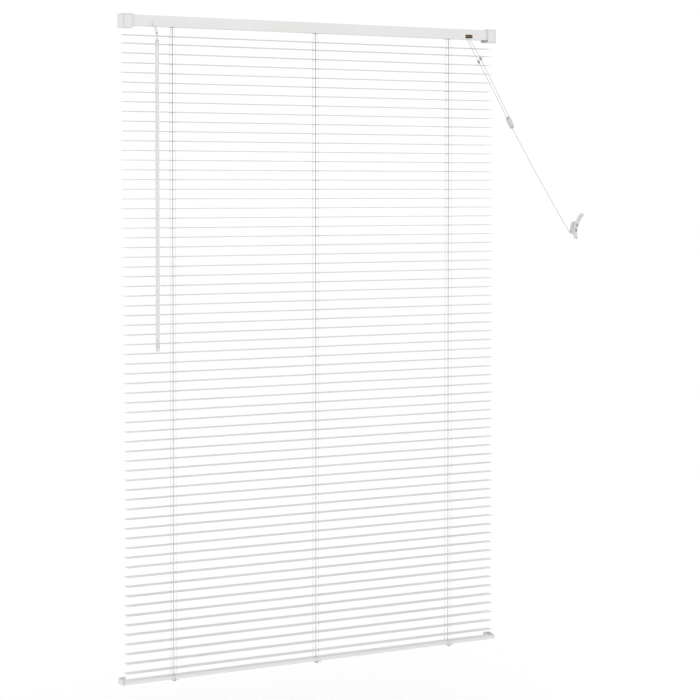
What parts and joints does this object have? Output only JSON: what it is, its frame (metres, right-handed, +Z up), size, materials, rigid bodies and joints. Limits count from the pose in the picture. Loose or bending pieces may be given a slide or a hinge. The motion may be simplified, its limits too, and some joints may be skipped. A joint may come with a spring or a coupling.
{
  "type": "venetian blind",
  "caption": "Horizontal slat blind with a boxed headrail, tilt wand, cord lock, pull cords tied to a wall cleat, and a bottom rail held by hold-down brackets.",
  "frame": {"origin": "centre of the left box bracket's back face, on the wall", "axes": "+X along the headrail to the right as seen from the room, +Y into the wall, +Z up"},
  "size_m": [1.2718, 0.0434, 1.4894],
  "materials": {
    "slat_paint": "satin white enamel",
    "headrail_paint": "satin white enamel",
    "bracket_paint": "satin white enamel",
    "rail_paint": "satin white enamel",
    "ladder_cord": "braided polyester",
    "lift_cord": "braided polyester",
    "rod_steel": "zinc plated",
    "roller_brass": "knurled",
    "screw_steel": "zinc plated",
    "wand_clear": "frosted clear",
    "connector_grey": "smooth",
    "stop_grey": "smooth",
    "joiner_plastic": "smooth",
    "cleat_plastic": "smooth",
    "trim_plastic": "fine grain",
    "works_plastic": "fine grain"
  },
  "bodies": {
    "fixed": {"headrail": "headrail_paint", "headrail_plug_left": "works_plastic", "bracket_left": "bracket_paint", "rail_cap_left": "trim_plastic", "hold_down_left": "trim_plastic", "pull_cord_left": "lift_cord", "cord_stop_left": "stop_grey", "headrail_plug_right": "works_plastic", "bracket_right": "bracket_paint", "rail_cap_right": "trim_plastic", "hold_down_right": "trim_plastic", "pull_cord_right": "lift_cord", "cord_stop_right": "stop_grey", "tilter_housing": "works_plastic", "lock_housing": "works_plastic", "bottom_rail": "rail_paint", "cord_joiner": "joiner_plastic", "tail_cord": "lift_cord", "cord_cleat": "cleat_plastic", "cleat_screw_upper": "screw_steel", "cleat_screw_lower": "screw_steel", "cradle_left": "works_plastic", "lift_cord_left": "lift_cord", "ladder_clip_left": "trim_plastic", "cradle_middle": "works_plastic", "lift_cord_middle": "lift_cord", "ladder_clip_middle": "trim_plastic", "cradle_right": "works_plastic", "lift_cord_right": "lift_cord", "ladder_clip_right": "trim_plastic"},
    "tilt_rod": {"tilt_rod": "rod_steel", "worm_wheel": "works_plastic", "drum_left": "works_plastic", "drum_middle": "works_plastic", "drum_right": "works_plastic"},
    "ladder_front": {"ladder_front_left": "ladder_cord", "ladder_front_middle": "ladder_cord", "ladder_front_right": "ladder_cord"},
    "ladder_rear": {"ladder_rear_left": "ladder_cord", "ladder_rear_middle": "ladder_cord", "ladder_rear_right": "ladder_cord"},
    "tilter_stem": {"tilter_stem": "works_plastic"},
    "wand_connector": {"wand_connector": "connector_grey"},
    "wand": {"wand": "wand_clear"},
    "lock_roller": {"lock_roller": "roller_brass"},
    "bracket_door_left": {"bracket_door_left": "bracket_paint"},
    "bracket_door_right": {"bracket_door_right": "bracket_paint"},
    "slat_01": {"slat_01": "slat_paint"},
    "slat_07": {"slat_07": "slat_paint"},
    "slat_13": {"slat_13": "slat_paint"},
    "slat_19": {"slat_19": "slat_paint"},
    "slat_25": {"slat_25": "slat_paint"},
    "slat_31": {"slat_31": "slat_paint"},
    "slat_37": {"slat_37": "slat_paint"},
    "slat_43": {"slat_43": "slat_paint"},
    "slat_49": {"slat_49": "slat_paint"},
    "slat_55": {"slat_55": "slat_paint"},
    "slat_61": {"slat_61": "slat_paint"},
    "slat_67": {"slat_67": "slat_paint"}
  },
  "joints": [
    {"name": "tilt", "type": "hinge", "parent": "fixed", "child": "tilt_rod", "pos_m": [0.4875, -0.014, 0.00505], "axis": [1, 0, 0], "range_deg": [-121.2, 121.2]},
    {"name": "slat_01_tilt", "type": "hinge", "parent": "fixed", "child": "slat_01", "pos_m": [0.4875, -0.014, -0.03035], "axis": [1, 0, 0], "range_deg": [-70.5, 70.5]},
    {"name": "slat_07_tilt", "type": "hinge", "parent": "fixed", "child": "slat_07", "pos_m": [0.4875, -0.014, -0.15585], "axis": [1, 0, 0], "range_deg": [-70.5, 70.5]},
    {"name": "slat_13_tilt", "type": "hinge", "parent": "fixed", "child": "slat_13", "pos_m": [0.4875, -0.014, -0.28485], "axis": [1, 0, 0], "range_deg": [-70.5, 70.5]},
    {"name": "slat_19_tilt", "type": "hinge", "parent": "fixed", "child": "slat_19", "pos_m": [0.4875, -0.014, -0.41385], "axis": [1, 0, 0], "range_deg": [-70.5, 70.5]},
    {"name": "slat_25_tilt", "type": "hinge", "parent": "fixed", "child": "slat_25", "pos_m": [0.4875, -0.014, -0.54285], "axis": [1, 0, 0], "range_deg": [-70.5, 70.5]},
    {"name": "slat_31_tilt", "type": "hinge", "parent": "fixed", "child": "slat_31", "pos_m": [0.4875, -0.014, -0.67185], "axis": [1, 0, 0], "range_deg": [-70.5, 70.5]},
    {"name": "slat_37_tilt", "type": "hinge", "parent": "fixed", "child": "slat_37", "pos_m": [0.4875, -0.014, -0.80085], "axis": [1, 0, 0], "range_deg": [-70.5, 70.5]},
    {"name": "slat_43_tilt", "type": "hinge", "parent": "fixed", "child": "slat_43", "pos_m": [0.4875, -0.014, -0.92985], "axis": [1, 0, 0], "range_deg": [-70.5, 70.5]},
    {"name": "slat_49_tilt", "type": "hinge", "parent": "fixed", "child": "slat_49", "pos_m": [0.4875, -0.014, -1.05885], "axis": [1, 0, 0], "range_deg": [-70.5, 70.5]},
    {"name": "slat_55_tilt", "type": "hinge", "parent": "fixed", "child": "slat_55", "pos_m": [0.4875, -0.014, -1.18785], "axis": [1, 0, 0], "range_deg": [-70.5, 70.5]},
    {"name": "slat_61_tilt", "type": "hinge", "parent": "fixed", "child": "slat_61", "pos_m": [0.4875, -0.014, -1.31685], "axis": [1, 0, 0], "range_deg": [-70.5, 70.5]},
    {"name": "slat_67_tilt", "type": "hinge", "parent": "fixed", "child": "slat_67", "pos_m": [0.4875, -0.014, -1.44585], "axis": [1, 0, 0], "range_deg": [-70.5, 70.5]},
    {"name": "ladder_front_travel", "type": "slide", "parent": "fixed", "child": "ladder_front", "axis": [0, 0, 1], "range_m": [-0.0128, 0.0128]},
    {"name": "ladder_rear_travel", "type": "slide", "parent": "ladder_front", "child": "ladder_rear", "axis": [0, 0, 1], "range_m": [-0.0256, 0.0256]},
    {"name": "stem_turn", "type": "hinge", "parent": "fixed", "child": "tilter_stem", "pos_m": [0.066, -0.038, -0.02895], "axis": [0, -0.4261, -0.9047], "range_deg": [-1455.4, 1455.4]},
    {"name": "wand_swing", "type": "hinge", "parent": "fixed", "child": "wand_connector", "pos_m": [0.066, -0.038, -0.02895], "axis": [-1, 0, 0], "range_deg": [0, 40]},
    {"name": "wand_turn", "type": "hinge", "parent": "wand_connector", "child": "wand", "pos_m": [0.066, -0.038, -0.02895], "axis": [0, 0, -1], "range_deg": [-1455.4, 1455.4]},
    {"name": "lock_roller_spin", "type": "hinge", "parent": "fixed", "child": "lock_roller", "pos_m": [0.9105, -0.0216, -0.00295], "axis": [1, 0, 0], "continuous": true},
    {"name": "bracket_door_left_swing", "type": "hinge", "parent": "fixed", "child": "bracket_door_left", "pos_m": [0, -0.0294, 0.01515], "axis": [-1, 0, 0], "range_deg": [0, 105]},
    {"name": "bracket_door_right_swing", "type": "hinge", "parent": "fixed", "child": "bracket_door_right", "pos_m": [0.975, -0.0294, 0.01515], "axis": [-1, 0, 0], "range_deg": [0, 105]}
  ],
  "couplings": [
    {"joint": "slat_01_tilt", "follows": "tilt", "ratio": 0.57756},
    {"joint": "slat_07_tilt", "follows": "tilt", "ratio": 0.57756},
    {"joint": "slat_13_tilt", "follows": "tilt", "ratio": 0.57756},
    {"joint": "slat_19_tilt", "follows": "tilt", "ratio": 0.57756},
    {"joint": "slat_25_tilt", "follows": "tilt", "ratio": 0.57756},
    {"joint": "slat_31_tilt", "follows": "tilt", "ratio": 0.57756},
    {"joint": "slat_37_tilt", "follows": "tilt", "ratio": 0.57756},
    {"joint": "slat_43_tilt", "follows": "tilt", "ratio": 0.57756},
    {"joint": "slat_49_tilt", "follows": "tilt", "ratio": 0.57756},
    {"joint": "slat_55_tilt", "follows": "tilt", "ratio": 0.57756},
    {"joint": "slat_61_tilt", "follows": "tilt", "ratio": 0.57756},
    {"joint": "slat_67_tilt", "follows": "tilt", "ratio": 0.57756},
    {"joint": "ladder_front_travel", "follows": "tilt", "m_per_rad": -0.006},
    {"joint": "ladder_rear_travel", "follows": "tilt", "m_per_rad": 0.012},
    {"joint": "stem_turn", "follows": "tilt", "ratio": 12},
    {"joint": "wand_turn", "follows": "tilt", "ratio": 12}
  ]
}
